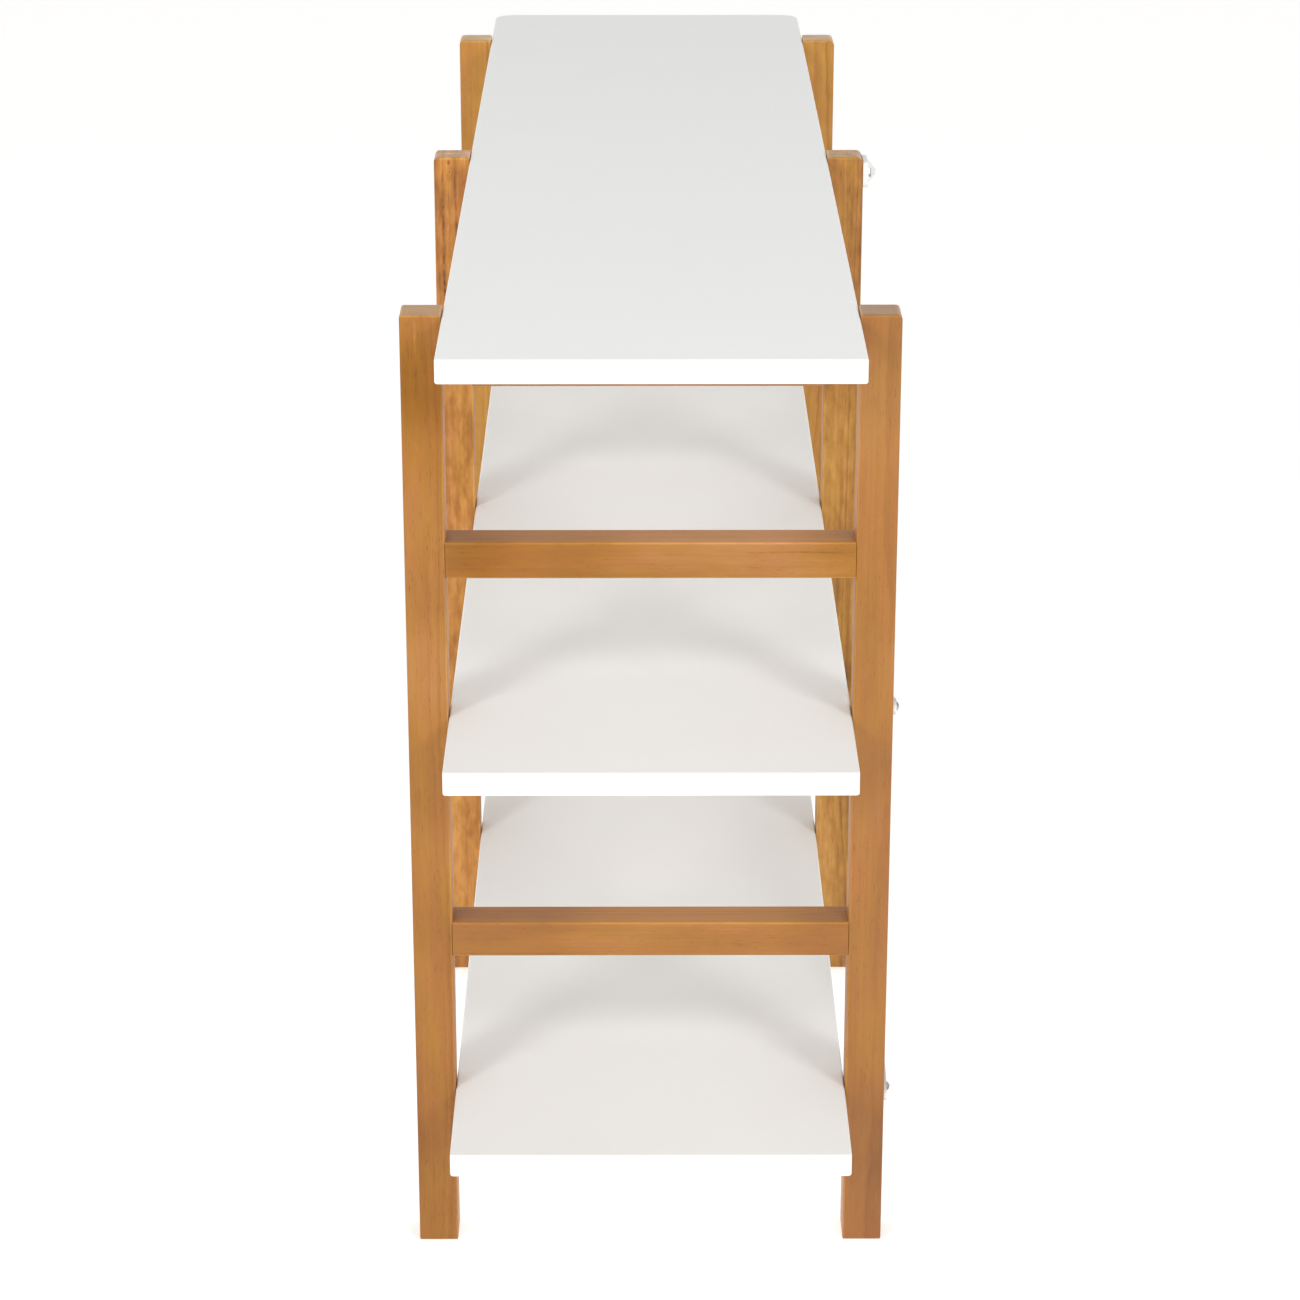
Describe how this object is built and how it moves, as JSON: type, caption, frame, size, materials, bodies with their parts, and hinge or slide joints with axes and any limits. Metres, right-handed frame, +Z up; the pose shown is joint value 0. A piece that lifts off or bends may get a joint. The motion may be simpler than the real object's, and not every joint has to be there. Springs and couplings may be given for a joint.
{
  "type": "shelving unit",
  "caption": "Low open shelving unit: honey-stained ladder frames carry long white boards, with a crossed flat-bar brace and a strap anchor at the back.",
  "frame": {"origin": "on the floor, at the middle of the unit's box, back fittings included", "axes": "+X along the boards, to the right as seen from the front; -Y is the front; +Z up"},
  "size_m": [1.2, 0.3712, 0.75],
  "materials": {
    "honey_wood": "honey-stained solid timber, satin varnish",
    "dowel_wood": "plain beech dowel",
    "white_lacquer": "white satin lacquer on board",
    "white_steel": "white powder coat",
    "zinc_steel": "zinc plated",
    "white_plastic": "moulded, fine matt"
  },
  "bodies": {
    "root": {"post_front_left": "honey_wood", "post_front_middle": "honey_wood", "post_front_right": "honey_wood", "post_rear_left": "honey_wood", "post_rear_middle": "honey_wood", "post_rear_right": "honey_wood", "rail_upper_left": "honey_wood", "rail_upper_middle": "honey_wood", "rail_upper_right": "honey_wood", "rail_lower_left": "honey_wood", "rail_lower_middle": "honey_wood", "rail_lower_right": "honey_wood", "rail_dowels_left": "dowel_wood", "rail_dowels_middle": "dowel_wood", "rail_dowels_right": "dowel_wood", "board_top": "white_lacquer", "board_middle": "white_lacquer", "board_bottom": "white_lacquer", "brackets_top": "white_steel", "brackets_middle": "white_steel", "brackets_bottom": "white_steel", "brace_bar_straight": "white_steel", "brace_bar_cranked": "white_steel", "bracket_screws_top": "zinc_steel", "bracket_screws_middle": "zinc_steel", "bracket_screws_bottom": "zinc_steel", "brace_screws": "zinc_steel", "wall_anchor_screws": "zinc_steel", "wall_anchor": "white_plastic"}
  },
  "joints": []
}
